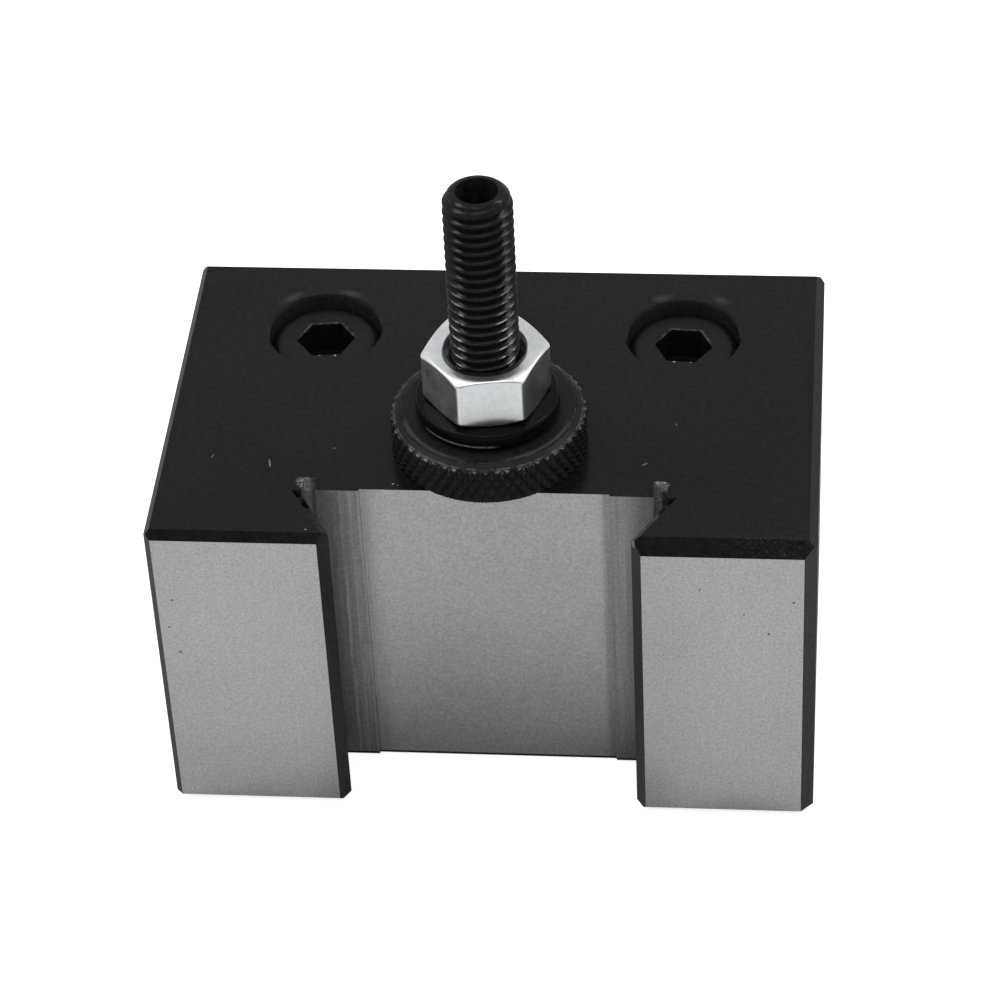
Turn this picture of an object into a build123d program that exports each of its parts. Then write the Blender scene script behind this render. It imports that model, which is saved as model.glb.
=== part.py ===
"""Quick change tool holder for a round boring bar, with its height stud, nuts and clamp screws.

Millimetres. X runs along the block, -Y is the dovetail side and +Z is up.
The origin is the centre of the block's underside.
"""

import os
from math import cos, pi, radians, sin, sqrt, tan

from build123d import *

# Block
block_length = 76.2
block_depth = 50.5
block_height = 42.0

# Dovetail channel in the front face, with a relief slot in each inner corner and a floor milled deeper midway
mouth_width = 32.2
channel_depth = 8.3
dovetail_angle = 60.0
relief_width = 1.5
relief_reach = 2.2
floor_step = 0.3
floor_step_width = 28.7

# Bevels, ground by hand and wider on the right post than on the left one
left_bevel = 0.75
right_bevel = 1.45
left_front_bevel = 0.95
right_front_bevel = 1.6
left_side_bevel = 0.65
right_side_bevel = 1.0
rear_bevel = 0.6
foot_bevel = 0.5
lip_on_face = 2.2
lip_on_flank = 2.1
flank_bevel = 1.0

# Bore for the bar, and the slit that lets the screws close it
bore_radius = 9.525
bore_from_front = 22.3
bore_below_top = 22.5
bore_mouth_bevel = 0.8
slit_width = 2.4

# Stud that carries the height nuts
stud_radius = 4.0
stud_length = 45.0
stud_in_block = 9.4
stud_from_front = 17.8
stud_tip_height = 1.7
stud_tip_radius = 2.9
stud_foot_bevel = 0.8
stud_socket_width = 4.0
stud_socket_depth = 5.0
stud_socket_turn = 12.0

# Knurled thumb nut
thumb_nut_radius = 11.35
thumb_nut_height = 5.0
rim_bevel_width = 1.05
rim_bevel_height = 0.6
thumb_nut_foot_bevel = 0.25
hub_radius = 6.4
hub_height = 0.7
knurl_teeth = 56
knurl_depth = 0.42
knurl_slant = 30.0
knurl_reach = 0.84
blank_allowance = 0.2

# Washer
washer_radius = 8.3
washer_hole_radius = 4.3
washer_height = 1.6
washer_round = 0.4

# Lock nut
lock_nut_width = 13.0
lock_nut_height = 6.5
lock_nut_turn = 9.3
lock_nut_corner_round = 0.8
lock_nut_bearing_radius = 6.4
lock_nut_slope = 25.0
lock_nut_sink_radius = 4.7

# Clamp screws
screw_from_end = 16.6
screw_from_front = 37.8
screw_radius = 4.0
screw_length = 25.0
screw_tip_bevel = 0.8
screw_head_radius = 6.45
screw_head_height = 8.0
screw_head_round = 1.05
screw_recess = 1.5
screw_socket_width = 6.0
screw_socket_depth = 4.0
left_screw_turn = 6.5
right_screw_turn = -4.0
counterbore_radius = 6.7
counterbore_edge = 0.25
clearance_hole_radius = 4.5
tapped_runout = 2.2

# Radial gap between a screw's crests and the thread that it runs in
thread_clearance = 0.05

# Countersinks, and how near an edge lies to the place where it is looked for
sink_angle = 90.0
near = 0.001

# Places that follow from the sizes above
front_y = -block_depth / 2
rear_y = block_depth / 2
left_x = -block_length / 2
right_x = block_length / 2
mouth_half = mouth_width / 2
floor_half = mouth_half + channel_depth / tan(radians(dovetail_angle))
floor_y = front_y + channel_depth
face_half = mouth_half + lip_on_face
lip_half = mouth_half + lip_on_flank * cos(radians(dovetail_angle))
lip_y = front_y + lip_on_flank * sin(radians(dovetail_angle))
bore_y = front_y + bore_from_front
bore_height = block_height - bore_below_top
slit_low = bore_height - slit_width / 2
stud_y = front_y + stud_from_front
stud_foot = block_height - stud_in_block
screw_y = front_y + screw_from_front
screw_spread = block_length - 2 * screw_from_end
screw_seat = block_height - screw_recess - screw_head_height
tapped_depth = slit_low - screw_seat + screw_length + tapped_runout
washer_foot = block_height + thumb_nut_height + hub_height
lock_nut_foot = washer_foot + washer_height
tapped_radius = screw_radius + thread_clearance
nut_bore_radius = stud_radius + thread_clearance
blank_radius = thumb_nut_radius + blank_allowance
rim_slope = rim_bevel_height / rim_bevel_width

os.makedirs("parts", exist_ok=True)


def edges_at(part, kind, axis, position):
    """The part's edges of one kind that lie wholly at one position along an axis."""
    return part.edges().filter_by(kind).filter_by_position(axis, position - near, position + near)


def corner_radius(width):
    """A hexagon's radius to its corners, from its width across flats."""
    return width / sqrt(3)


# Channel seen from above: one half, mirrored
with BuildSketch() as channel:
    with BuildLine():
        Polyline(
            (0, front_y),
            (face_half, front_y),
            (lip_half, lip_y),
            (floor_half, floor_y),
            (floor_step_width / 2, floor_y),
            (floor_step_width / 2, floor_y + floor_step),
            (0, floor_y + floor_step),
            close=True,
        )
    make_face()
    mirror(about=Plane.YZ)

# Block: its outline from above with the channel cut in, raised to its height
with BuildPart() as holder_body:
    with BuildSketch() as outline:
        Rectangle(block_length, block_depth)
        chamfer(outline.vertices().group_by(Axis.Y)[0].sort_by(Axis.X)[0], left_bevel)
        chamfer(outline.vertices().group_by(Axis.Y)[0].sort_by(Axis.X)[-1], right_bevel)
        chamfer(outline.vertices().group_by(Axis.Y)[-1], rear_bevel)
        add(channel.sketch, mode=Mode.SUBTRACT)
    extrude(amount=block_height)

    # Edges of the top, found anew after each bevel, and the outer edges of the foot
    top_edges = edges_at(holder_body, GeomType.LINE, Axis.Z, block_height)
    chamfer(top_edges.filter_by(Axis.X).group_by(Axis.Y)[0].sort_by(Axis.X)[0], left_front_bevel)
    top_edges = edges_at(holder_body, GeomType.LINE, Axis.Z, block_height)
    post_edges = top_edges.filter_by_position(Axis.Y, front_y, lip_y).filter_by(Axis.X)
    chamfer(post_edges.sort_by(Axis.X)[-1], right_front_bevel)
    top_edges = edges_at(holder_body, GeomType.LINE, Axis.Z, block_height)
    chamfer(top_edges.filter_by(Axis.Y).sort_by(Axis.X)[0], left_side_bevel)
    top_edges = edges_at(holder_body, GeomType.LINE, Axis.Z, block_height)
    chamfer(top_edges.filter_by(Axis.Y).sort_by(Axis.X)[-1], right_side_bevel)
    top_edges = edges_at(holder_body, GeomType.LINE, Axis.Z, block_height)
    chamfer(top_edges.filter_by(Axis.X).sort_by(Axis.Y)[-1], rear_bevel)
    foot_edges = edges_at(holder_body, GeomType.LINE, Axis.Z, 0)
    outer_edges = foot_edges.filter_by(
        lambda edge: abs(edge.center().Y) > rear_y - rear_bevel
        or abs(edge.center().X) > right_x - right_bevel
    )
    chamfer(outer_edges, foot_bevel)

    # Bevels on the tops of the channel's flanks, which end at its floor, and then the relief slots behind them
    top_edges = edges_at(holder_body, GeomType.LINE, Axis.Z, block_height)
    chamfer(top_edges.filter_by_position(Axis.Y, lip_y, floor_y - near), flank_bevel)
    with BuildSketch():
        with Locations((floor_half, floor_y)):
            Rectangle(relief_width, relief_reach, align=(Align.MAX, Align.MIN))
        mirror(about=Plane.YZ)
    extrude(amount=block_height, mode=Mode.SUBTRACT)

    # Bore along the block, bevelled at both mouths and open to the rear through the slit
    for mouth_x in (left_x, right_x):
        with Locations(Plane((mouth_x, bore_y, bore_height), z_dir=(mouth_x, 0, 0))):
            CounterSinkHole(
                bore_radius,
                bore_radius + bore_mouth_bevel,
                depth=block_length,
                counter_sink_angle=sink_angle,
            )
    with BuildSketch(Plane.YZ.offset(left_x)):
        with Locations((bore_y, slit_low)):
            Rectangle(rear_y - bore_y, slit_width, align=(Align.MIN, Align.MIN))
    extrude(amount=block_length, mode=Mode.SUBTRACT)

    # Holes for the screws: counterbore and clearance above the slit, thread below it
    with Locations(Plane((0, screw_y, block_height))):
        with GridLocations(screw_spread, 1, 2, 1):
            CounterBoreHole(
                clearance_hole_radius,
                counterbore_radius,
                screw_recess + screw_head_height,
                depth=block_height - slit_low,
            )
    with Locations(Plane((0, screw_y, slit_low))):
        with GridLocations(screw_spread, 1, 2, 1):
            Hole(tapped_radius, depth=tapped_depth)
    chamfer(edges_at(holder_body, GeomType.CIRCLE, Axis.Z, block_height), counterbore_edge)

    # Threaded hole for the stud
    with Locations((0, stud_y, block_height)):
        Hole(nut_bore_radius, depth=stud_in_block)

# Stud: turned round, with a rounded end and a hexagon socket
with BuildPart() as height_stud:
    with BuildSketch(Plane.XZ):
        with BuildLine():
            stud_side = Polyline(
                (0, stud_length),
                (0, 0),
                (stud_radius - stud_foot_bevel, 0),
                (stud_radius, stud_foot_bevel),
                (stud_radius, stud_length - stud_tip_height),
            )
            tip = TangentArc(stud_side @ 1, (stud_tip_radius, stud_length), tangent=(0, 1))
            Line(tip @ 1, (0, stud_length))
        make_face()
    revolve(axis=Axis.Z)
    with BuildSketch(Plane.XY.offset(stud_length)):
        RegularPolygon(corner_radius(stud_socket_width), 6, rotation=stud_socket_turn)
    extrude(amount=-stud_socket_depth, mode=Mode.SUBTRACT)
height_stud.part.locate(Location((0, stud_y, stud_foot)))

# One knurl groove: a straight V laid across the rim at a slant, so wide that neighbours meet in sharp crests
groove_pitch = 2 * pi * thumb_nut_radius / knurl_teeth * cos(radians(knurl_slant))
groove_half = groove_pitch * knurl_reach / (2 * knurl_depth)
groove_plane = Plane(
    (thumb_nut_radius - knurl_depth, 0, thumb_nut_height / 2),
    x_dir=(1, 0, 0),
    z_dir=(0, sin(radians(knurl_slant)), cos(radians(knurl_slant))),
)
with BuildPart() as knurl_groove:
    with BuildSketch(groove_plane):
        with BuildLine():
            Polyline((0, 0), (knurl_reach, groove_half), (knurl_reach, -groove_half), close=True)
        make_face()
    extrude(amount=thumb_nut_height, both=True)

# Thumb nut: turned flange and hub, then the grooves cut both ways round the rim
with BuildPart() as thumb_nut:
    with BuildSketch(Plane.XZ):
        with BuildLine():
            Polyline(
                (nut_bore_radius, 0),
                (thumb_nut_radius - thumb_nut_foot_bevel, 0),
                (blank_radius, thumb_nut_foot_bevel + blank_allowance),
                (blank_radius, thumb_nut_height - rim_bevel_height - blank_allowance * rim_slope),
                (thumb_nut_radius - rim_bevel_width, thumb_nut_height),
                (hub_radius, thumb_nut_height),
                (hub_radius, thumb_nut_height + hub_height),
                (nut_bore_radius, thumb_nut_height + hub_height),
                close=True,
            )
        make_face()
    revolve(axis=Axis.Z)
    with PolarLocations(0, knurl_teeth):
        add(knurl_groove.part, mode=Mode.SUBTRACT)
    with PolarLocations(0, knurl_teeth):
        add(mirror(knurl_groove.part, about=Plane.XZ, mode=Mode.PRIVATE), mode=Mode.SUBTRACT)
thumb_nut.part.locate(Location((0, stud_y, block_height)))

# Washer: stamped, with its upper rim rounded
with BuildPart() as washer:
    with BuildSketch():
        Circle(washer_radius)
        Circle(washer_hole_radius, mode=Mode.SUBTRACT)
    extrude(amount=washer_height)
    fillet(washer.edges().group_by(Axis.Z)[-1].sort_by(SortBy.RADIUS)[-1], washer_round)
washer.part.locate(Location((0, stud_y, washer_foot)))

# Lock nut: a hexagon bar turned down to a round bearing face at both ends
with BuildPart() as lock_nut:
    with BuildSketch() as hexagon:
        RegularPolygon(corner_radius(lock_nut_width), 6, rotation=lock_nut_turn)
        fillet(hexagon.vertices(), lock_nut_corner_round)
    extrude(amount=lock_nut_height)
    turned_radius = corner_radius(lock_nut_width)
    turned_drop = (turned_radius - lock_nut_bearing_radius) * tan(radians(lock_nut_slope))
    with BuildSketch(Plane.XZ):
        with BuildLine():
            Polyline(
                (0, 0),
                (lock_nut_bearing_radius, 0),
                (turned_radius, turned_drop),
                (turned_radius, lock_nut_height - turned_drop),
                (lock_nut_bearing_radius, lock_nut_height),
                (0, lock_nut_height),
                close=True,
            )
        make_face()
    revolve(axis=Axis.Z, mode=Mode.INTERSECT)
    with Locations((0, 0, lock_nut_height)):
        CounterSinkHole(nut_bore_radius, lock_nut_sink_radius, counter_sink_angle=sink_angle)
lock_nut.part.locate(Location((0, stud_y, lock_nut_foot)))

# Clamp screws: socket head cap screws, each as the driver left it
screws = {
    "clamp_screw_left": (-screw_spread / 2, left_screw_turn),
    "clamp_screw_right": (screw_spread / 2, right_screw_turn),
}
for name, (screw_x, screw_turn) in screws.items():
    with BuildPart() as clamp_screw:
        with BuildSketch(Plane.XY.offset(-screw_length)):
            Circle(screw_radius)
        extrude(amount=screw_length)
        chamfer(clamp_screw.edges().group_by(Axis.Z)[0], screw_tip_bevel)
        with BuildSketch():
            Circle(screw_head_radius)
        extrude(amount=screw_head_height)
        fillet(clamp_screw.edges().group_by(Axis.Z)[-1], screw_head_round)
        with BuildSketch(Plane.XY.offset(screw_head_height)):
            RegularPolygon(corner_radius(screw_socket_width), 6, rotation=screw_turn)
        extrude(amount=-screw_socket_depth, mode=Mode.SUBTRACT)
    clamp_screw.part.locate(Location((screw_x, screw_y, screw_seat)))
    clamp_screw.part.label = name
    export_step(clamp_screw.part, f"parts/{name}.step")

pieces = {
    "holder_body": holder_body,
    "height_stud": height_stud,
    "thumb_nut": thumb_nut,
    "washer": washer,
    "lock_nut": lock_nut,
}
for name, piece in pieces.items():
    piece.part.label = name
    export_step(piece.part, f"parts/{name}.step")
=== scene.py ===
"""The quick change tool holder's looks: materials, threaded stud, lock nut, floor, lights and camera.

Metres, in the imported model's frame. X runs along the block, -Y is the dovetail side and +Z is up.
Places inside the materials and the two meshes are in millimetres.
"""

from math import atan2, cos, pi, radians, sin, sqrt, tan

import bmesh
import bpy
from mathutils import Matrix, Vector

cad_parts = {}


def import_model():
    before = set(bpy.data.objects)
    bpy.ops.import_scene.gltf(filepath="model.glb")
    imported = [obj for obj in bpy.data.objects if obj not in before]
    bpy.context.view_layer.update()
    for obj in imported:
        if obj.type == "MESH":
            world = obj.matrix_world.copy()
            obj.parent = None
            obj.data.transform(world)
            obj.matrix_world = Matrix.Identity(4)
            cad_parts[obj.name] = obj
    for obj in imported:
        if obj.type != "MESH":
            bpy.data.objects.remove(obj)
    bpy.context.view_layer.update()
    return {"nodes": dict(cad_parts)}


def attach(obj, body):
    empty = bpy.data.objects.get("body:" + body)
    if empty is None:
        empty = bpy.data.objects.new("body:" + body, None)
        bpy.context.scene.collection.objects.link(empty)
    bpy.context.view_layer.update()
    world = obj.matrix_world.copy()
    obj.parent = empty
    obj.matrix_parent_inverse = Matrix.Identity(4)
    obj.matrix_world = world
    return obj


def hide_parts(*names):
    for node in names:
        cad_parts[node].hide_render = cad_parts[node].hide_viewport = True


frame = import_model()
nodes = frame["nodes"]

MM = 0.001

# Places on the block, in millimetres
half_length = 38.1
front_y = -25.25
side_floor_y = -16.95
lip_y = -23.43
corner_x = 20.89
slot_x = 19.2
top_z = 42.0

# Clamp screws, in millimetres
screw_x = 21.5
screw_y = 12.55
screw_top = 40.5
screw_socket_edge = 3.12
screw_glint_y = screw_y - 3.05

# Stud, in millimetres
stud_y = -7.45
stud_foot = 32.6
stud_top = 77.6
stud_radius = 4.0
foot_bevel = 0.8
thread_pitch = 1.25
crest_drop = 0.03
tip_height = 1.7
tip_radius = 2.9
socket_apothem = 2.0
socket_corner = 2.28
socket_mouth = 2.42
socket_mouth_depth = 1.1
socket_depth = 5.0
socket_turn = radians(12)
drill_radius = 1.9

# Thumb nut and lock nut, in millimetres
thumb_radius = 11.35
thumb_ring = 9.75
nut_foot = 49.3
nut_height = 6.5
nut_apothem = 6.5
nut_corner_round = 0.8
nut_bearing_radius = 6.4
nut_slope = radians(25)
nut_slope_round = 0.35
nut_bore = 4.05
nut_sink = 4.7
nut_turn = radians(9.3)

# Camera: millimetres for its sensor and lens, metres, and degrees
sensor = 36.0
focal = 136.73
camera_place = (0.03931, -0.34256, 0.32345)
camera_turn = (49.2159, 2.3005, 4.5755)

# Lamps are turned towards this height, in metres
lamp_aim = 0.045


# Node helpers


class Nodes:
    """Short calls for a tree's nodes. Their inputs are numbers, tuples or outputs of other nodes."""

    def __init__(self, tree):
        self.tree = tree

    def add(self, kind, inputs=None, **settings):
        made = self.tree.nodes.new(kind)
        for key, value in settings.items():
            setattr(made, key, value)
        for key, value in (inputs or {}).items():
            self.put(made.inputs[key], value)
        return made

    def put(self, socket, value):
        if isinstance(value, bpy.types.NodeSocket):
            self.tree.links.new(value, socket)
        else:
            socket.default_value = value

    def math(self, operation, a, b=0.0):
        return self.add("ShaderNodeMath", {0: a, 1: b}, operation=operation).outputs[0]

    def plus(self, a, b):
        return self.math("ADD", a, b)

    def minus(self, a, b):
        return self.math("SUBTRACT", a, b)

    def size(self, value):
        """A number without its sign."""
        return self.math("ABSOLUTE", value)

    def length(self, vector):
        return self.add("ShaderNodeVectorMath", {0: vector}, operation="LENGTH").outputs["Value"]

    def xyz(self, vector):
        return self.add("ShaderNodeSeparateXYZ", {0: vector}).outputs

    def both(self, *masks):
        """The masks' product: 1 where all of them are 1."""
        result = masks[0]
        for mask in masks[1:]:
            result = self.math("MULTIPLY", result, mask)
        return result

    def either(self, *masks):
        """The greatest of the masks: 1 where any of them is 1."""
        result = masks[0]
        for mask in masks[1:]:
            result = self.math("MAXIMUM", result, mask)
        return result

    def above(self, value, limit):
        """1 above the limit, 0 below it."""
        return self.math("GREATER_THAN", value, limit)

    def below(self, value, limit):
        """1 below the limit, 0 above it."""
        return self.math("LESS_THAN", value, limit)

    def between(self, value, low, high):
        """1 between low and high, 0 outside."""
        return self.both(self.above(value, low), self.below(value, high))

    def step(self, value, start, end):
        """0 at start, 1 at end, smooth between them."""
        if start > end:
            return self.minus(1.0, self.step(value, end, start))
        inputs = {"Value": value, "From Min": start, "From Max": end}
        return self.add("ShaderNodeMapRange", inputs, interpolation_type="SMOOTHSTEP").outputs[0]

    def near(self, value, place, reach, core):
        """1 within core of a place, 0 beyond reach of it."""
        return self.step(self.size(self.minus(value, place)), reach, core)

    def span(self, value, low, high, from_low=0.0, from_high=1.0):
        """Maps from_low..from_high to low..high, held at its ends."""
        places = {"From Min": from_low, "From Max": from_high, "To Min": low, "To Max": high}
        return self.add("ShaderNodeMapRange", {"Value": value, **places}).outputs[0]

    def spread(self, noise, low, high):
        """Maps a noise's usual range, 0.3 to 0.7, to low..high."""
        return self.span(noise, low, high, 0.3, 0.7)

    def mix(self, share, a, b):
        """Two colours mixed by share."""
        return self.add("ShaderNodeMix", {0: share, 6: a, 7: b}, data_type="RGBA").outputs[2]

    def blend(self, share, a, b):
        """Two numbers mixed by share."""
        return self.add("ShaderNodeMix", {0: share, 2: a, 3: b}, data_type="FLOAT").outputs[0]

    def grey(self, value, tint=(1.0, 1.0, 1.0)):
        """A tinted grey from a number that varies over the surface."""
        parts = {n: self.math("MULTIPLY", value, tint[n]) for n in range(3)}
        return self.add("ShaderNodeCombineColor", parts).outputs[0]


class Shader(Nodes):
    """A material with one principled shader. Places and grain are in millimetres."""

    def __init__(self, name):
        self.material = bpy.data.materials.new(name)
        self.material.use_nodes = True
        super().__init__(self.material.node_tree)
        self.tree.nodes.clear()
        output = self.add("ShaderNodeOutputMaterial")
        self.shader = self.add("ShaderNodeBsdfPrincipled")
        self.tree.links.new(self.shader.outputs[0], output.inputs[0])
        place = self.add("ShaderNodeTexCoord").outputs
        self.normal = place["Normal"]
        to_mm = (1 / MM, 1 / MM, 1 / MM)
        self.place = self.add("ShaderNodeMapping", {"Vector": place["Object"], "Scale": to_mm}).outputs[0]

    def set(self, **values):
        for key, value in values.items():
            self.put(self.shader.inputs[key.replace("_", " ")], value)

    def noise(self, grains, detail, roughness, stretch=(1, 1, 1)):
        """Noise with about so many grains per millimetre. A stretch under 1 draws them out along its axis."""
        moved = self.add("ShaderNodeMapping", {"Vector": self.place, "Scale": stretch}).outputs[0]
        inputs = {"Vector": moved, "Scale": grains, "Detail": detail, "Roughness": roughness}
        return self.add("ShaderNodeTexNoise", inputs).outputs[0]

    def mark(self, place, half, turn=0.0, on="top", soft=0.5):
        """1 inside a small oval mark on the block's top or front, 0 outside it."""
        if on == "top":
            scale, angle = (half[0], half[1], 1), (0, 0, radians(turn))
        else:
            scale, angle = (half[0], 1, half[1]), (0, -radians(turn), 0)
        inputs = {"Vector": self.place, "Location": place, "Rotation": angle, "Scale": scale}
        moved = self.add("ShaderNodeMapping", inputs, vector_type="TEXTURE").outputs[0]
        return self.step(self.length(moved), 1.0, soft)

    def from_stud(self):
        """Distance from the stud's axis."""
        x, y, _ = self.xyz(self.place)
        across = self.add("ShaderNodeCombineXYZ", {0: x, 1: self.minus(y, stud_y)}).outputs[0]
        return self.length(across)

    def bump(self, height, distance, strength):
        """A bump whose full height is a distance in millimetres."""
        inputs = {"Height": height, "Distance": distance * MM, "Strength": strength}
        return self.add("ShaderNodeBump", inputs).outputs[0]


def dress(obj, material):
    obj.data.materials.clear()
    obj.data.materials.append(material)


# Materials

# Bare spots on the black top: x, y and z, half length, half width, turn in degrees, and strength
top_scratches = (
    (-25.1, -12.4, 42.0, 0.9, 0.12, 100, 0.4),
    (-31.9, -11.3, 42.0, 0.5, 0.1, 70, 0.22),
    (-17.9, -9.5, 42.0, 0.3, 0.14, 30, 0.14),
    (18.1, -11.2, 42.0, 0.5, 0.1, 40, 0.4),
    (21.4, -4.0, 42.0, 0.3, 0.1, 120, 0.2),
    (-10.5, -15.6, 42.0, 0.16, 0.14, 0, 0.8),
    (-9.9, -15.8, 42.0, 0.12, 0.1, 0, 0.4),
    (-19.6, -23.8, 41.9, 0.16, 0.14, 0, 0.5),
)

# Torn black at the tops of the relief slots: x and y, half length, half width, and turn in degrees
torn_places = (
    (-21.0, -15.7, 0.75, 1.2, 20),
    (20.1, -14.7, 1.15, 0.7, 0),
)

# Light on the soft edges behind the counterbores: x and y, half length, half width, and turn in degrees
lit_edges = (
    (-26.2, 18.7, 2.3, 1.0, 40),
    (-19.1, 19.7, 2.2, 0.9, -20),
    (18.6, 19.8, 1.9, 1.0, 20),
    (25.7, 19.6, 1.6, 1.0, -30),
)

# Dark specks on the ground posts: x and z, and radius
post_specks = (
    (-35.6, 32.0, 0.22),
    (-36.3, 27.8, 0.2),
    (-35.4, 23.9, 0.24),
    (35.5, 33.9, 0.22),
    (32.7, 29.0, 0.22),
    (29.9, 31.9, 0.18),
    (24.9, 35.5, 0.16),
)

# Fine lines on the left post: x and z, half length, half width, and turn in degrees
post_lines = (
    (-30.1, 29.1, 2.3, 0.09, 95),
    (-32.1, 30.9, 1.1, 0.08, 0),
)


def block_material():
    """Black oxide on the block, with bright ground steel on the posts' faces and in the channel."""
    s = Shader("block_steel")
    x, y, z = s.xyz(s.place)
    nx, ny, nz = s.xyz(s.normal)
    side = s.size(x)
    upright = s.below(s.size(nz), 0.3)
    on_face = s.both(s.below(y, front_y + 0.02), s.below(ny, -0.98))
    channel = s.both(
        s.between(y, lip_y + 0.04, side_floor_y + 2.4),
        s.below(side, corner_x + 0.02),
        upright,
    )
    foot = s.step(z, 0.3, 0.45)
    ground = s.both(s.either(on_face, channel), foot)

    # Ground steel: fine grain, with streaks along the cutter's path at the sides of the channel's floor
    fine = s.noise(3.4, 4, 0.8)
    streak = s.noise(2.2, 4, 0.7, (1, 1, 0.02))
    broad = s.noise(0.06, 2, 0.5)
    left_band = s.step(x, -11.6, -15.6)
    right_band = s.step(x, 13.0, 14.0)
    band = s.both(s.either(left_band, right_band), channel)
    streaks = s.both(s.minus(streak, 0.5), s.span(band, 0.1, 1.3))
    steel_value = s.plus(s.span(fine, 0.35, 0.67, 0.28, 0.72), s.both(streaks, 0.35))
    steel_value = s.plus(steel_value, s.spread(broad, -0.02, 0.02))
    steel_value = s.both(steel_value, s.span(band, 1.0, 0.62))

    # Pale and dark lines in the left band, which waver and break off
    waver = s.both(s.minus(s.noise(0.25, 3, 0.6, (1, 1, 0.6)), 0.5), 0.6)
    across = s.plus(x, waver)
    patchy = s.span(s.noise(0.5, 3, 0.6, (1, 1, 0.5)), 0.2, 1.0, 0.35, 0.6)
    pale_x, faint_x, dark_x = -16.6, -15.5, -14.8
    faint_line = s.both(s.near(across, faint_x, 0.2, 0.05), 0.6)
    pale_line = s.either(s.near(across, pale_x, 0.24, 0.08), faint_line)
    dark_line = s.near(across, dark_x, 0.28, 0.06)
    steel_value = s.both(steel_value, s.span(s.both(pale_line, patchy, channel), 1.0, 1.45))
    steel_value = s.both(steel_value, s.span(s.both(dark_line, patchy, channel), 1.0, 0.72))

    # Relief slots: chipped towards the top, with painted light brighter towards the top, painted shade on the
    # left slot's inner part, and a painted shadow for the dark hole in the right one
    slot = s.both(s.above(side, slot_x), s.above(y, side_floor_y + 0.04), channel)
    chipped = s.span(s.noise(1.3, 4, 0.75), 0.45, 1.5, 0.36, 0.64)
    left_slot_painted_shade = s.both(s.step(x, -20.5, -19.7), s.step(x, 0, -1))
    slot_painted_light = s.both(s.span(z, 1.4, 2.0, 39.0, 42.0), s.blend(s.step(z, 38.0, 40.0), 1.0, chipped))
    slot_painted_light = s.both(slot_painted_light, s.span(left_slot_painted_shade, 1.0, 0.45))
    hollow_painted_shadow = s.both(s.step(x, 20.0, 20.4), s.step(z, 36.5, 38.0), s.step(z, 41.4, 40.6))
    steel_value = s.both(steel_value, s.blend(slot, 1.0, s.both(slot_painted_light, s.span(hollow_painted_shadow, 1.0, 0.2))))

    specks = s.either(*(s.mark((u, front_y, w), (r, r), on="front") for u, w, r in post_specks))
    lines = s.either(*(s.mark((u, front_y, w), (a, b), t, on="front") for u, w, a, b, t in post_lines))
    steel_value = s.both(steel_value, s.span(specks, 1.0, 0.35), s.span(lines, 1.0, 0.86))
    steel = s.grey(steel_value)
    steel_rough = s.spread(fine, 0.36, 0.48)

    # Black oxide: near black with a faint mottle, with painted light: a little paler on upright faces and at
    # the lit edges
    mottle = s.noise(1.5, 5, 0.72)
    cloud = s.noise(0.045, 3, 0.5)
    lit = s.either(*(s.mark((u, v, top_z), (a, b), t, soft=0.0) for u, v, a, b, t in lit_edges))
    oxide_value = s.plus(s.spread(mottle, 0.003, 0.011), s.spread(cloud, -0.001, 0.001))
    oxide_value = s.plus(oxide_value, s.both(lit, 0.028))
    oxide_value = s.plus(oxide_value, s.both(upright, s.spread(mottle, 0.012, 0.021)))
    bluer = s.plus(oxide_value, 0.0024)
    oxide = s.add("ShaderNodeCombineColor", {0: oxide_value, 1: oxide_value, 2: bluer}).outputs[0]
    flank_edge = s.both(
        s.between(nz, 0.3, 0.95),
        s.above(s.size(nx), 0.2),
        s.below(side, 22.4),
        s.below(y, -14.0),
        s.above(z, 40.9),
    )
    oxide = s.mix(flank_edge, oxide, (0.011, 0.011, 0.013, 1))
    oxide_rough = s.spread(mottle, 0.16, 0.26)

    # Bare steel on the top: scratches, torn flakes at the relief slots and a rubbed corner
    up = s.above(nz, 0.6)
    scratches = s.either(*(s.both(s.mark(spot[:3], spot[3:5], spot[5]), spot[6]) for spot in top_scratches))
    torn = s.either(*(s.mark((u, v, top_z), (a, b), t) for u, v, a, b, t in torn_places))
    flakes = s.both(torn, s.span(s.noise(2.0, 4, 0.75), 0.0, 0.75, 0.44, 0.58))
    rub = s.both(s.step(x, 25.0, 31.0), s.step(y, -22.4, -23.9), s.above(z, 40.4))
    rubbed = s.both(rub, s.step(s.noise(4.2, 3, 0.8), 0.54, 0.74), 0.13)
    bare = s.both(s.either(scratches, flakes, rubbed), up)
    # A painted glint: a bare bright spot at the right corner of the channel's mouth.
    glint = s.both(s.mark((17.25, -23.9, 41.1), (0.5, 0.5)), 0.5)
    bare_steel = (0.62, 0.62, 0.64, 1)

    bright = s.either(ground, bare, glint)
    grain = s.plus(s.both(fine, 0.5), s.both(mottle, 0.5))
    s.set(
        Base_Color=s.mix(bright, oxide, s.mix(s.either(bare, glint), steel, bare_steel)),
        Metallic=s.either(bright, flank_edge),
        Roughness=s.blend(bright, oxide_rough, steel_rough),
        Specular_IOR_Level=0.155,
        Normal=s.bump(grain, 0.004, 0.4),
    )
    return s.material


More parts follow.
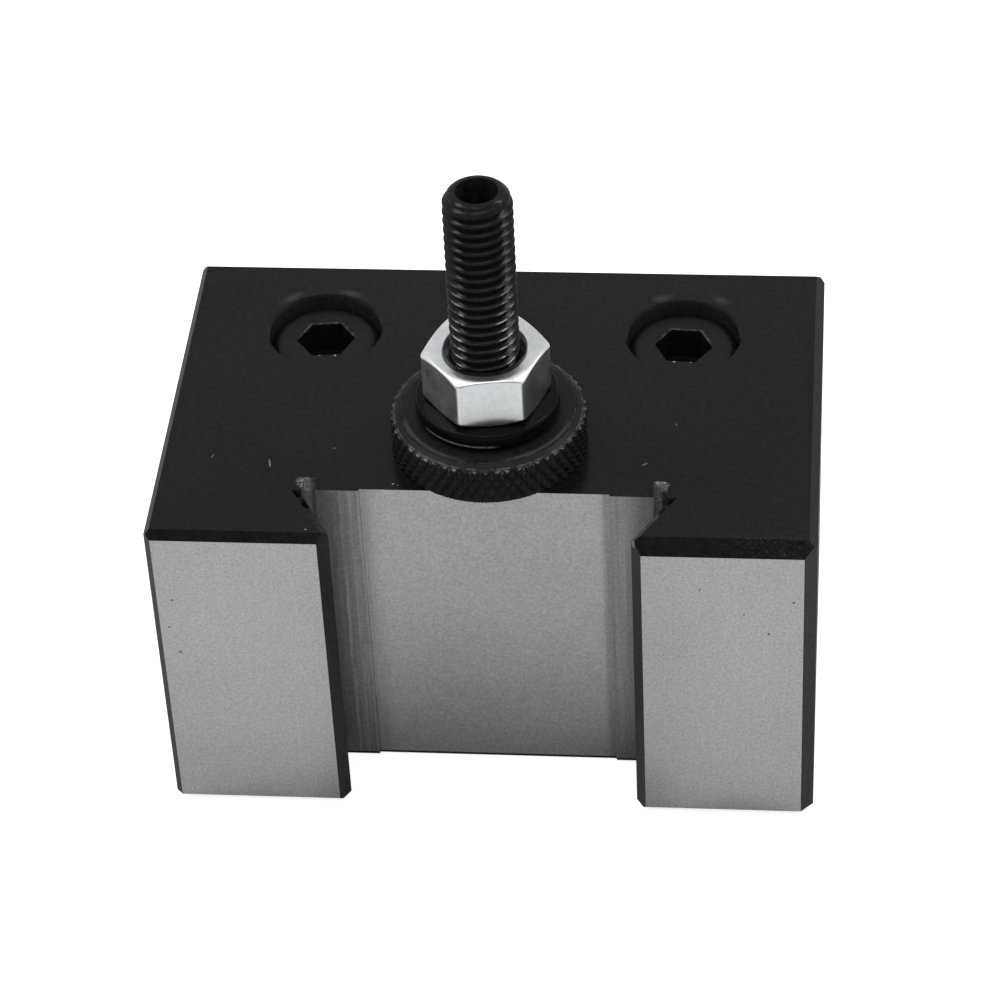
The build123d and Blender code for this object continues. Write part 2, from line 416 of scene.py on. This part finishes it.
def screw_material(name, middle_x, turn, glints):
    """Black oxide, with a faint line behind the socket's edge that is partly wear and partly painted
    highlight, and two painted glints in front.
    """
    s = Shader(name)
    x, y, z = s.xyz(s.place)
    mottle = s.noise(1.4, 4, 0.6)
    dx = s.minus(x, middle_x)
    dy = s.minus(y, screw_y)
    reaches = []
    for third in range(3):
        a = radians(turn + 30 + 60 * third)
        reaches.append(s.size(s.plus(s.both(dx, cos(a)), s.both(dy, sin(a)))))
    # A faint line behind the socket's edge, partly wear and partly painted highlight, and painted glints in
    # front, as bare steel.
    line = s.near(s.either(*reaches), screw_socket_edge, 0.2, 0.04)
    on_top = s.step(z, screw_top - 0.2, screw_top - 0.1)
    wear_and_highlights = s.both(line, s.step(dy, 0.2, 1.4), on_top, s.span(mottle, 0.0, 0.12, 0.4, 0.62))
    dots = s.either(*(s.mark((u, screw_glint_y, screw_top), (0.2, 0.13), soft=0.3) for u in glints))
    wear_and_highlights = s.either(wear_and_highlights, dots)
    black = s.grey(s.spread(mottle, 0.005, 0.011), (1.0, 1.0, 1.1))
    s.set(
        Base_Color=s.mix(wear_and_highlights, black, (0.6, 0.6, 0.6, 1)),
        Metallic=wear_and_highlights,
        Roughness=s.spread(mottle, 0.29, 0.39),
        Specular_IOR_Level=0.15,
        Normal=s.bump(mottle, 0.006, 0.4),
    )
    return s.material


def thumb_nut_material():
    """Black oxide with turned rings on the flat faces, bare steel from wear on the knurl's crests, and
    painted highlight arcs in front.
    """
    s = Shader("knurled_black")
    x, y, z = s.xyz(s.place)
    _, _, nz = s.xyz(s.normal)
    radius = s.from_stud()
    flat = s.above(s.size(nz), 0.5)
    ring = s.add("ShaderNodeCombineXYZ", {0: radius}).outputs[0]
    turned = {"Vector": ring, "Scale": 4.0, "Detail": 3.0, "Roughness": 0.7}
    rings = s.add("ShaderNodeTexNoise", turned).outputs[0]
    mottle = s.noise(1.6, 4, 0.6)
    patchy = s.step(s.noise(0.9, 3, 0.6), 0.42, 0.62)
    upper_crest = s.both(s.step(radius, thumb_radius - 0.4, thumb_radius - 0.15), s.step(z, 46.0, 46.4), 0.4)
    crest = s.both(s.step(radius, thumb_radius - 0.1, thumb_radius), 0.1)
    ring_share = s.both(flat, s.step(rings, 0.52, 0.66))
    outer_rings = s.both(ring_share, s.step(radius, 9.2, 10.0), 0.75)
    # Painted highlights: bright arcs on the turned ring, in front at the sides.
    in_front = s.both(s.step(y, stud_y - 1.5, stud_y - 4.0), s.step(s.size(x), 1.5, 4.5))
    painted_arcs = s.both(s.near(radius, thumb_ring, 0.35, 0.05), flat, in_front, s.span(rings, 0.05, 0.2, 0.4, 0.6))
    wear_and_highlights = s.either(s.both(s.either(upper_crest, crest, outer_rings), patchy), painted_arcs)
    value = s.plus(s.spread(mottle, 0.006, 0.014), s.both(ring_share, 0.008))
    height = s.plus(s.both(rings, flat), s.both(mottle, 0.3))
    s.set(
        Base_Color=s.mix(wear_and_highlights, s.grey(value, (1.0, 1.0, 1.03)), (0.42, 0.42, 0.42, 1)),
        Metallic=wear_and_highlights,
        Roughness=s.spread(mottle, 0.36, 0.5),
        Specular_IOR_Level=0.13,
        Normal=s.bump(height, 0.02, 0.5),
    )
    return s.material


def zinc_material():
    """Bright zinc plating: pale, faintly blue, with soft stains, painted shade in the mouth round the thread,
    and painted shade on the right-hand flats.
    """
    s = Shader("bright_zinc")
    _, y, z = s.xyz(s.place)
    nx, _, nz = s.xyz(s.normal)
    stain = s.noise(0.35, 2, 0.5)
    grain = s.noise(1.5, 1, 0.5)
    value = s.plus(s.spread(stain, 0.88, 1.0), s.spread(grain, -0.05, 0.03))
    # Painted shade in the mouth round the thread, reaching further out at the front.
    in_front = s.span(s.minus(y, stud_y), -0.6, 0.0, -4.5, 0.0)
    mouth_painted_shade = s.both(s.step(s.plus(s.from_stud(), in_front), 4.9, 4.75), s.above(z, nut_foot + 3.0))
    # Painted shade: the right-hand flats darker.
    right_flats_painted_shade = s.both(s.step(nx, 0.45, 0.75), s.step(s.size(nz), 0.3, 0.1))
    value = s.both(value, s.span(mouth_painted_shade, 1.0, 0.16), s.span(right_flats_painted_shade, 1.0, 0.6))
    s.set(
        Base_Color=s.grey(value, (0.97, 1.0, 1.02)),
        Metallic=1.0,
        Roughness=s.spread(stain, 0.26, 0.36),
        Normal=s.bump(stain, 0.02, 0.3),
    )
    return s.material


def stud_material():
    """Oiled black steel, bare from wear along the thread's crests, brightest at the left and right sides as
    painted highlights.
    """
    s = Shader("oiled_black")
    x, _, z = s.xyz(s.place)
    mottle = s.noise(1.6, 4, 0.6)
    rubbed = s.step(s.noise(0.8, 3, 0.6, (1, 1, 0.5)), 0.42, 0.6)
    # The crests' bare steel is strongest at the left and right sides: painted highlights over wear.
    beside = s.near(s.size(x), 2.7, 1.1, 0.4)
    crest = s.both(s.step(s.from_stud(), 3.84, 3.95), s.step(z, 69.0, 60.0), s.span(rubbed, 0.1, 1.0))
    crest = s.both(crest, s.span(beside, 0.04, 1.0))
    black = s.grey(s.spread(mottle, 0.008, 0.015), (1.0, 1.0, 1.1))
    s.set(
        Base_Color=s.mix(crest, black, (0.62, 0.62, 0.63, 1)),
        Metallic=crest,
        Roughness=s.spread(mottle, 0.18, 0.26),
        Specular_IOR_Level=0.11,
        Normal=s.bump(mottle, 0.004, 0.4),
    )
    return s.material


def washer_material():
    """Blued washer with a painted highlight on its lower edge in front, as a bright bare stretch."""
    s = Shader("washer_black")
    x, y, z = s.xyz(s.place)
    mottle = s.noise(1.4, 4, 0.6)
    # Painted highlight: a bright bare stretch on the lower edge, in front at the left.
    stretch = s.both(s.step(x, 2.4, -0.5), s.step(y, stud_y - 4.5, stud_y - 6.0))
    edge = s.both(s.step(z, 48.0, 47.86), stretch, s.span(mottle, 0.1, 0.6, 0.35, 0.6))
    blue = s.grey(s.spread(mottle, 0.002, 0.004), (1.0, 1.0, 1.4))
    s.set(
        Base_Color=s.mix(edge, blue, (0.5, 0.5, 0.5, 1)),
        Metallic=edge,
        Roughness=s.spread(mottle, 0.24, 0.34),
        Specular_IOR_Level=0.09,
        Normal=s.bump(mottle, 0.006, 0.4),
    )
    return s.material


# Meshes that replace CAD nodes


def piece_from(bm, name, sharp_angle):
    """A smooth shaded object from a mesh in millimetres round the stud's axis."""
    bmesh.ops.remove_doubles(bm, verts=bm.verts, dist=0.002)
    bmesh.ops.dissolve_degenerate(bm, edges=bm.edges, dist=0.001)
    bmesh.ops.recalc_face_normals(bm, faces=bm.faces)
    for v in bm.verts:
        v.co = Vector((v.co.x, v.co.y + stud_y, v.co.z)) * MM
    mesh = bpy.data.meshes.new(name)
    bm.to_mesh(mesh)
    bm.free()
    mesh.shade_smooth()
    mesh.set_sharp_from_angle(angle=sharp_angle)
    made = bpy.data.objects.new(name, mesh)
    bpy.context.scene.collection.objects.link(made)
    return made


def ring_of(bm, around, radius, z):
    """A closed ring of vertices. Its radius is a number, or a function of the angle."""
    ring = []
    for m in range(around):
        a = 2 * pi * m / around
        r = radius(a) if callable(radius) else radius
        ring.append(bm.verts.new((r * cos(a), r * sin(a), z)))
    return ring


def join(bm, upper, lower):
    """Faces between two rings of the same size."""
    for m in range(len(upper)):
        after = (m + 1) % len(upper)
        bm.faces.new((upper[m], upper[after], lower[after], lower[m]))


def close(bm, ring, z):
    """A fan from a ring to a point on the axis."""
    middle = bm.verts.new((0, 0, z))
    for m in range(len(ring)):
        bm.faces.new((ring[m], ring[(m + 1) % len(ring)], middle))


def from_flat(a, turn):
    """Angle from the middle of a hexagon's side, for a hexagon that is turned."""
    return (a - turn) % (pi / 3) - pi / 6


def thread_depth(t):
    """Depth of an ISO thread's profile below its crest, at a share of the pitch, in pitches."""
    t = abs(t - round(t))
    crest, root = 0.0625, 0.375
    crest_round, root_round = 0.02, 0.07
    slope = 1 / tan(radians(30))
    if t <= crest:
        return crest_round * (t / crest) ** 2
    if t <= root:
        return crest_round + (t - crest) * slope
    rest = (t - root) / (0.5 - root)
    return crest_round + (root - crest) * slope + root_round * (1 - (1 - rest) ** 2)


def threaded_stud(name):
    """The stud: a helical thread that runs out in a rounded end with a hexagon socket."""
    around = 84
    profile = (0.0, 0.045, 0.075, 0.17, 0.27, 0.36, 0.42, 0.5, 0.58, 0.64, 0.73, 0.83, 0.925, 0.955)
    radius = stud_radius - crest_drop
    foot_radius = stud_radius - foot_bevel
    arc_start = stud_top - tip_height
    arc = ((stud_radius - tip_radius) ** 2 + tip_height**2) / (2 * (stud_radius - tip_radius))

    def dome(z):
        return radius if z <= arc_start else radius - arc + sqrt(max(arc**2 - (z - arc_start) ** 2, 0))

    bm = bmesh.new()
    rows = (int((stud_top - stud_foot) / thread_pitch) + 3) * len(profile)
    grid = []
    for m in range(around):
        a = 2 * pi * m / around
        column = []
        for n in range(rows):
            turn, j = divmod(n, len(profile))
            z = stud_foot + (turn - 1.5 + profile[j] + m / around) * thread_pitch
            z = min(max(z, stud_foot), stud_top)
            r = min(radius - thread_pitch * thread_depth(profile[j]), dome(z), foot_radius + z - stud_foot)
            column.append(bm.verts.new((r * cos(a), r * sin(a), z)))
        grid.append(column)
    for m in range(around):
        after = (m + 1) % around
        shift = len(profile) if after == 0 else 0
        for n in range(rows - 1 - shift):
            corners = (grid[m][n], grid[after][n + shift], grid[after][n + 1 + shift], grid[m][n + 1])
            heights = [v.co.z for v in corners]
            if max(heights) > stud_foot and min(heights) < stud_top:
                bm.faces.new(corners)

    # Socket: a hexagon whose mouth is bevelled nearly to a circle, with a drilled cone at its floor
    def wall(a):
        return min(socket_apothem / cos(from_flat(a, socket_turn)), socket_corner)

    socket_floor = stud_top - socket_depth
    rings = [
        ring_of(bm, around, radius - stud_radius + tip_radius, stud_top),
        ring_of(bm, around, socket_mouth, stud_top),
        ring_of(bm, around, wall, stud_top - socket_mouth_depth),
        ring_of(bm, around, wall, socket_floor + 1),
        ring_of(bm, around, drill_radius, socket_floor + 0.9),
    ]
    for upper, lower in zip(rings, rings[1:]):
        join(bm, upper, lower)
    close(bm, rings[-1], socket_floor)
    close(bm, ring_of(bm, around, foot_radius, stud_foot), stud_foot)
    return piece_from(bm, name, radians(50))


def hexagon_radius(a):
    """The lock nut's outline: distance from its axis at an angle, with rounded corners."""
    off_flat = from_flat(a, nut_turn)
    off_corner = pi / 6 - abs(off_flat)
    centre = (nut_apothem - nut_corner_round) / cos(pi / 6)
    tangent = atan2(nut_corner_round * sin(pi / 6), centre + nut_corner_round * cos(pi / 6))
    if off_corner > tangent:
        return nut_apothem / cos(off_flat)
    return centre * cos(off_corner) + sqrt(nut_corner_round**2 - (centre * sin(off_corner)) ** 2)


def soft_min(a, b, reach):
    """The lower of two numbers, rounded where they meet."""
    blend = max(reach - abs(a - b), 0) / reach
    return min(a, b) - blend**2 * reach / 4


def forged_nut(name):
    """The lock nut with soft corners and edges, and a countersunk mouth."""
    around = 360
    drops = (0.0, 0.03, 0.08, 0.14, 0.21, 0.3, 0.4, 0.5, 0.62, 0.75, 0.9, 1.1, 1.5)
    levels = [nut_height - drop for drop in drops] + list(reversed(drops))
    edge_round, edge_height = 0.12, 0.14
    face_ring = nut_bearing_radius - 0.5
    nut_top = nut_foot + nut_height

    def outline(level):
        end = min(level, nut_height - level)
        cone = nut_bearing_radius + end / tan(nut_slope) - edge_round * max(1 - end / edge_height, 0) ** 2
        return lambda a: soft_min(hexagon_radius(a), cone, nut_slope_round)

    # Down the outside, then up the bore to a mouth with a soft edge
    bm = bmesh.new()
    rings = [ring_of(bm, around, face_ring, nut_top)]
    rings += [ring_of(bm, around, outline(level), nut_foot + level) for level in levels]
    rings += [
        ring_of(bm, around, face_ring, nut_foot),
        ring_of(bm, around, nut_bore, nut_foot),
        ring_of(bm, around, nut_bore, nut_top - nut_sink + nut_bore),
        ring_of(bm, around, nut_sink - 0.05, nut_top - 0.08),
        ring_of(bm, around, nut_sink + 0.06, nut_top),
    ]
    for upper, lower in zip(rings, rings[1:] + rings[:1]):
        join(bm, upper, lower)
    return piece_from(bm, name, radians(35))


# Dressing


dress(nodes["holder_body"], block_material())
dress(nodes["thumb_nut"], thumb_nut_material())
dress(nodes["washer"], washer_material())
dress(nodes["clamp_screw_left"], screw_material("clamp_screw_left_black", -screw_x, 6.5, (-22.0, -20.1)))
dress(nodes["clamp_screw_right"], screw_material("clamp_screw_right_black", screw_x, -4.0, (20.5, 22.5)))

stud = threaded_stud("height_stud_threaded")
dress(stud, stud_material())
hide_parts("height_stud")
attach(stud, "holder")

nut = forged_nut("lock_nut_forged")
dress(nut, zinc_material())
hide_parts("lock_nut")
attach(nut, "lock_nut")


# Floor, lights and camera


def floor():
    """Pale floor, white to the camera, with a soft shade round the block's foot in what the steel mirrors."""
    bpy.ops.mesh.primitive_plane_add(size=6, location=(0, 0, -0.0002))
    made = bpy.context.object
    made.name = "studio_floor"
    s = Shader("studio_floor")
    x, y, _ = s.xyz(s.place)
    side = s.size(x)
    beside = s.math("MAXIMUM", s.minus(side, half_length), 0.0)
    before = s.math("MAXIMUM", s.minus(s.size(y), -front_y), 0.0)
    away = s.math("SQRT", s.plus(s.both(beside, beside), s.both(before, before)))
    out_of_channel = s.minus(side_floor_y, y)
    inside = s.both(s.step(side, 23.0, 19.0), s.above(out_of_channel, 0.0))
    round_foot = s.span(away, 0.86, 1.0, 0.0, 44.0)
    in_channel = s.span(out_of_channel, 0.5, 0.89, 0.0, 30.0)
    path = s.add("ShaderNodeLightPath").outputs
    shade = s.blend(path["Is Glossy Ray"], 1.0, s.blend(inside, round_foot, in_channel))
    s.set(
        Base_Color=s.grey(s.both(shade, 0.8)),
        Roughness=0.9,
        Specular_IOR_Level=0.1,
        Emission_Color=(1, 1, 1, 1),
        Emission_Strength=s.both(s.either(path["Is Camera Ray"], path["Is Transmission Ray"]), 0.8),
    )
    dress(made, s.material)


def world():
    """White to the camera, and dimmer where it lights and mirrors, most of all in front."""
    seen_strength, lit_strength = 1.0, 0.55
    mirrored_beside, mirrored_ahead = 0.58, 0.3
    made = bpy.data.worlds.new("studio_world")
    bpy.context.scene.world = made
    made.use_nodes = True
    background = made.node_tree.nodes["Background"].inputs
    w = Nodes(made.node_tree)
    path = w.add("ShaderNodeLightPath").outputs
    direction = w.add("ShaderNodeTexCoord").outputs["Generated"]
    towards_front = {0: direction, 1: (0, -0.7, 0.714)}
    ahead = w.add("ShaderNodeVectorMath", towards_front, operation="DOT_PRODUCT").outputs["Value"]
    mirrored = w.blend(w.step(ahead, 0.5, 0.95), mirrored_beside, mirrored_ahead)
    unseen = w.blend(path["Is Glossy Ray"], lit_strength, mirrored)
    seen = w.either(path["Is Camera Ray"], path["Is Transmission Ray"])
    w.put(background["Strength"], w.blend(seen, unseen, seen_strength))
    w.put(background["Color"], (1, 1, 1, 1))


def softbox(name, direction, distance, size, power):
    """A lamp at a distance in a direction from the block, turned towards it."""
    light = bpy.data.lights.new(name, "AREA")
    light.shape = "RECTANGLE"
    light.size, light.size_y = size
    light.energy = power
    made = bpy.data.objects.new(name, light)
    bpy.context.scene.collection.objects.link(made)
    towards = Vector(direction).normalized()
    made.location = towards * distance + Vector((0, 0, lamp_aim))
    made.rotation_euler = towards.to_track_quat("Z", "Y").to_euler()


floor()
world()
softbox("softbox_left", (-0.55, 0.10, 0.83), 0.85, (0.13, 0.32), 1.6)
softbox("softbox_right", (0.62, 0.25, 0.74), 0.85, (0.13, 0.32), 1.6)
softbox("softbox_top", (0.0, -0.2, 1.0), 1.0, (0.6, 0.4), 1.5)

camera_data = bpy.data.cameras.new("camera")
camera = bpy.data.objects.new("camera", camera_data)
bpy.context.scene.collection.objects.link(camera)
camera_data.sensor_width = sensor
camera_data.lens = focal
camera.location = camera_place
camera.rotation_euler = [radians(angle) for angle in camera_turn]
bpy.context.scene.camera = camera

bpy.context.scene.view_settings.view_transform = "Standard"
